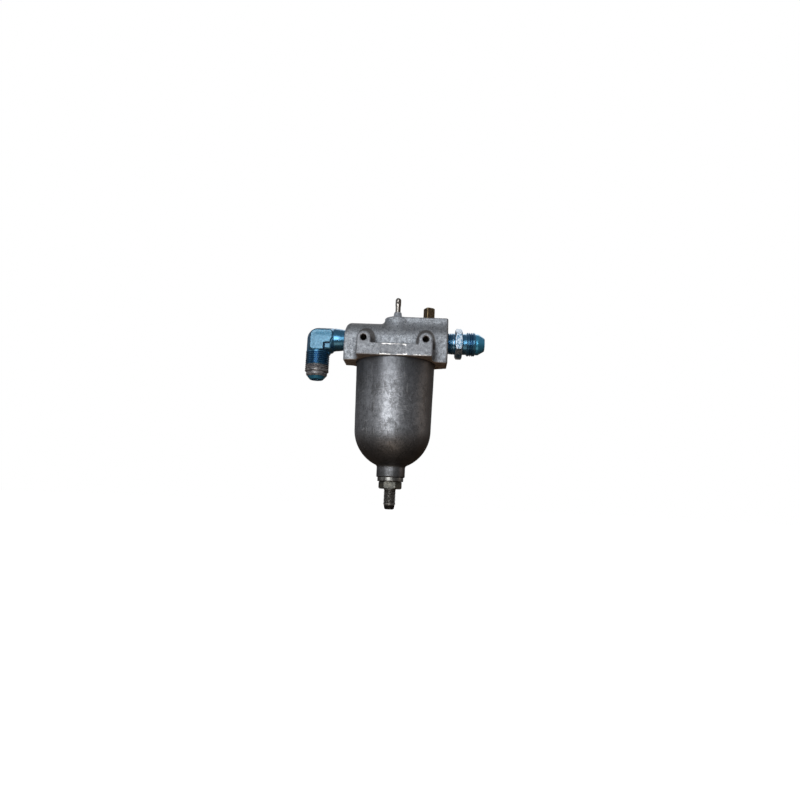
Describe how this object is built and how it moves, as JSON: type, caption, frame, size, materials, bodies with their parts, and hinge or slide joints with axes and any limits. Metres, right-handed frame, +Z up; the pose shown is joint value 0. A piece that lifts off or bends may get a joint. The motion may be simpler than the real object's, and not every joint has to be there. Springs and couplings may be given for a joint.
{
  "type": "fuel strainer",
  "caption": "Aircraft fuel strainer: cast head with mounting pad, deep metal bowl, spring-loaded drain with pull rod and nipple, primer plug, blue flared-tube elbow and union.",
  "frame": {"origin": "midway between the two tapped mounting holes, on the face of the mounting pad", "axes": "+X towards the outlet fitting, +Y from the mounting pad into the body, +Z up along the pull rod"},
  "size_m": [0.1431, 0.0682, 0.1703],
  "materials": {
    "cast_head": "sand-cast aluminium, light grey, dulled and stained",
    "cast_bowl": "cast and turned aluminium, dark grey wiped patina",
    "gasket_fibre": "compressed fibre gasket",
    "seal_rubber": "black nitrile rubber",
    "washer_metal": "bright soft metal",
    "nut_steel": "dull plated steel",
    "standpipe_steel": "dark oiled steel",
    "rod_steel": "polished plated steel, browned on one side",
    "spring_steel": "spring steel",
    "brass_parts": "turned brass and bronze",
    "screen_metal": "pressed sheet",
    "screen_wire": "fine woven wire",
    "blue_anodised": "blue anodised, satin",
    "blue_anodised_worn": "blue anodised, worn to bare metal on the hexagon",
    "aged_brass": "dark aged brass"
  },
  "bodies": {
    "strainer_head": {"head_casting": "cast_head", "bowl_gasket": "gasket_fibre", "standpipe": "standpipe_steel", "drain_spring": "spring_steel", "rod_seal": "seal_rubber", "seal_washer": "washer_metal", "rod_guide": "brass_parts", "screen_top_cap": "screen_metal", "screen_bottom_cap": "screen_metal", "screen_cage": "screen_metal", "screen_mesh": "screen_wire", "screen_gasket": "seal_rubber", "screen_spring": "spring_steel", "spring_seat": "washer_metal", "retaining_clip": "spring_steel", "inlet_elbow": "blue_anodised", "outlet_union": "blue_anodised_worn", "primer_plug": "aged_brass"},
    "bowl": {"bowl": "cast_bowl", "bowl_seal": "seal_rubber"},
    "washer": {"bowl_washer": "washer_metal"},
    "nut": {"bowl_nut": "nut_steel"},
    "pull_rod": {"drain_rod": "rod_steel", "drain_valve_tip": "seal_rubber", "spring_collar": "brass_parts", "collar_pin": "spring_steel"}
  },
  "joints": [
    {"name": "bowl_drop", "type": "slide", "parent": "strainer_head", "child": "bowl", "axis": [0, 0, -1], "range_m": [0, 0.118]},
    {"name": "nut_run_down", "type": "slide", "parent": "bowl", "child": "washer", "axis": [0, 0, -1], "range_m": [0, 0.02148]},
    {"name": "nut_turn", "type": "hinge", "parent": "washer", "child": "nut", "pos_m": [0, 0.0342, -0.10895], "axis": [0, 0, -1], "range_deg": [0, 7308]},
    {"name": "drain_pull", "type": "slide", "parent": "strainer_head", "child": "pull_rod", "axis": [0, 0, 1], "range_m": [0, 0.006], "stiffness_N_per_m": 600, "springref_m": -0.008, "deforming": ["drain_spring"]}
  ],
  "couplings": [
    {"joint": "nut_turn", "follows": "nut_run_down", "rad_per_m": 5936.9}
  ]
}
